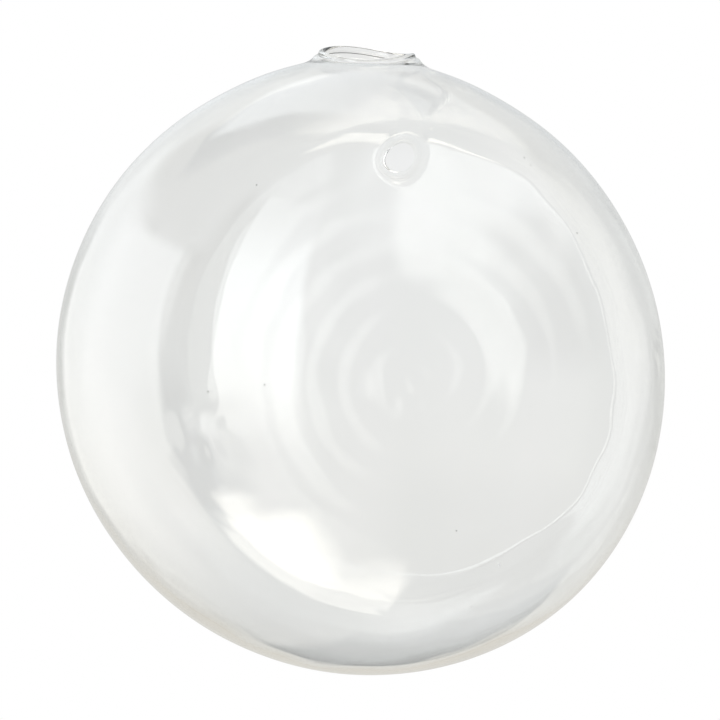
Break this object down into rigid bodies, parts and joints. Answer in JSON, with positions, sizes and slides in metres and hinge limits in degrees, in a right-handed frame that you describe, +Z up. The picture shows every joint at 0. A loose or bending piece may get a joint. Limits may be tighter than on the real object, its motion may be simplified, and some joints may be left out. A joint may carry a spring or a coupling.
{
  "type": "wall vase",
  "caption": "Clear blown-glass bubble vase with a flattened back, a short flared neck with an uneven lip, and a round eyelet in the back for hanging it on a wall screw.",
  "frame": {"origin": "centre of the hanging eyelet's hole, in the plane of the wall", "axes": "+X to the right as seen from the room, +Y into the wall, +Z up"},
  "size_m": [0.2, 0.139, 0.2061],
  "materials": {
    "clear_glass": "clear soda-lime glass, fire polished, faintly rippled by hand blowing"
  },
  "bodies": {
    "root": {"front_bubble": "clear_glass", "back_panel": "clear_glass", "neck_collar": "clear_glass", "lip_bead": "clear_glass", "hanging_eyelet": "clear_glass"}
  },
  "joints": []
}
